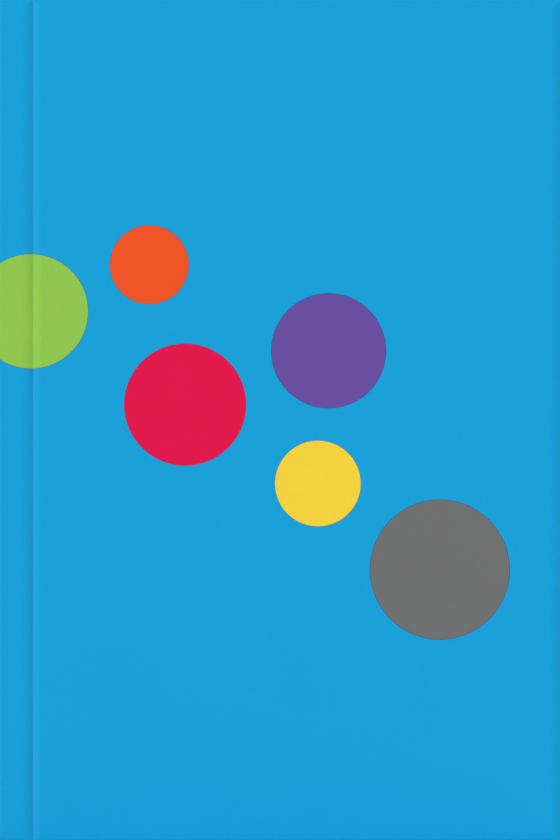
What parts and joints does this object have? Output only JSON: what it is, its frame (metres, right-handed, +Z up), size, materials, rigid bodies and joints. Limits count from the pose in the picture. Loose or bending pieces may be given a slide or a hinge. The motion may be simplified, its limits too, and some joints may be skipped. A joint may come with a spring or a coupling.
{
  "type": "hardback book",
  "caption": "Case-bound book standing closed on its tail edges, with rolled board edges, hinge grooves, a flat spine, headbands, covers that open and leaves that turn.",
  "frame": {"origin": "middle of the case's footprint, on the surface that the tail edges stand on", "axes": "+Z up from tail to head, +X from the spine to the fore edge, +Y from the front cover to the back cover"},
  "size_m": [0.1568, 0.03, 0.235],
  "materials": {
    "cover_paper": "satin",
    "endpaper": "matte",
    "page_paper": "matte",
    "headband_thread": "satin"
  },
  "bodies": {
    "block": {"text_block": "page_paper", "spine_board": "cover_paper", "front_joint": "cover_paper", "back_joint": "cover_paper", "headband_head": "headband_thread", "headband_tail": "headband_thread"},
    "front_cover": {"front_board": "cover_paper", "front_pastedown": "endpaper"},
    "back_cover": {"back_board": "cover_paper", "back_pastedown": "endpaper"},
    "front_flyleaf": {"front_flyleaf": "endpaper"},
    "front_leaves_1": {"front_leaves_1": "page_paper"},
    "front_leaves_2": {"front_leaves_2": "page_paper"},
    "front_leaves_3": {"front_leaves_3": "page_paper"},
    "back_flyleaf": {"back_flyleaf": "endpaper"},
    "back_leaves_1": {"back_leaves_1": "page_paper"},
    "back_leaves_2": {"back_leaves_2": "page_paper"}
  },
  "joints": [
    {"name": "front_cover_opens", "type": "hinge", "parent": "block", "child": "front_cover", "pos_m": [-0.0703, -0.01525, 0.1175], "axis": [0, 0, -1], "range_deg": [0, 175]},
    {"name": "back_cover_opens", "type": "hinge", "parent": "block", "child": "back_cover", "pos_m": [-0.0703, 0.01525, 0.1175], "axis": [0, 0, 1], "range_deg": [0, 175]},
    {"name": "front_flyleaf_turns", "type": "hinge", "parent": "block", "child": "front_flyleaf", "pos_m": [-0.06785, -0.01095, 0.1175], "axis": [0, 0, -1], "range_deg": [0, 87.5]},
    {"name": "front_leaves_1_turn", "type": "hinge", "parent": "block", "child": "front_leaves_1", "pos_m": [-0.06675, -0.01, 0.1175], "axis": [0, 0, -1], "range_deg": [0, 66.5]},
    {"name": "front_leaves_2_turn", "type": "hinge", "parent": "block", "child": "front_leaves_2", "pos_m": [-0.06565, -0.0089, 0.1175], "axis": [0, 0, -1], "range_deg": [0, 45.5]},
    {"name": "front_leaves_3_turn", "type": "hinge", "parent": "block", "child": "front_leaves_3", "pos_m": [-0.06455, -0.0078, 0.1175], "axis": [0, 0, -1], "range_deg": [0, 24.5]},
    {"name": "back_flyleaf_turns", "type": "hinge", "parent": "block", "child": "back_flyleaf", "pos_m": [-0.06785, 0.01095, 0.1175], "axis": [0, 0, 1], "range_deg": [0, 87.5]},
    {"name": "back_leaves_1_turn", "type": "hinge", "parent": "block", "child": "back_leaves_1", "pos_m": [-0.06675, 0.01, 0.1175], "axis": [0, 0, 1], "range_deg": [0, 59.5]},
    {"name": "back_leaves_2_turn", "type": "hinge", "parent": "block", "child": "back_leaves_2", "pos_m": [-0.06565, 0.0089, 0.1175], "axis": [0, 0, 1], "range_deg": [0, 31.5]}
  ],
  "couplings": [
    {"joint": "front_flyleaf_turns", "follows": "front_cover_opens", "ratio": 0.5},
    {"joint": "front_leaves_1_turn", "follows": "front_cover_opens", "ratio": 0.38},
    {"joint": "front_leaves_2_turn", "follows": "front_cover_opens", "ratio": 0.26},
    {"joint": "front_leaves_3_turn", "follows": "front_cover_opens", "ratio": 0.14},
    {"joint": "back_flyleaf_turns", "follows": "back_cover_opens", "ratio": 0.5},
    {"joint": "back_leaves_1_turn", "follows": "back_cover_opens", "ratio": 0.34},
    {"joint": "back_leaves_2_turn", "follows": "back_cover_opens", "ratio": 0.18}
  ]
}
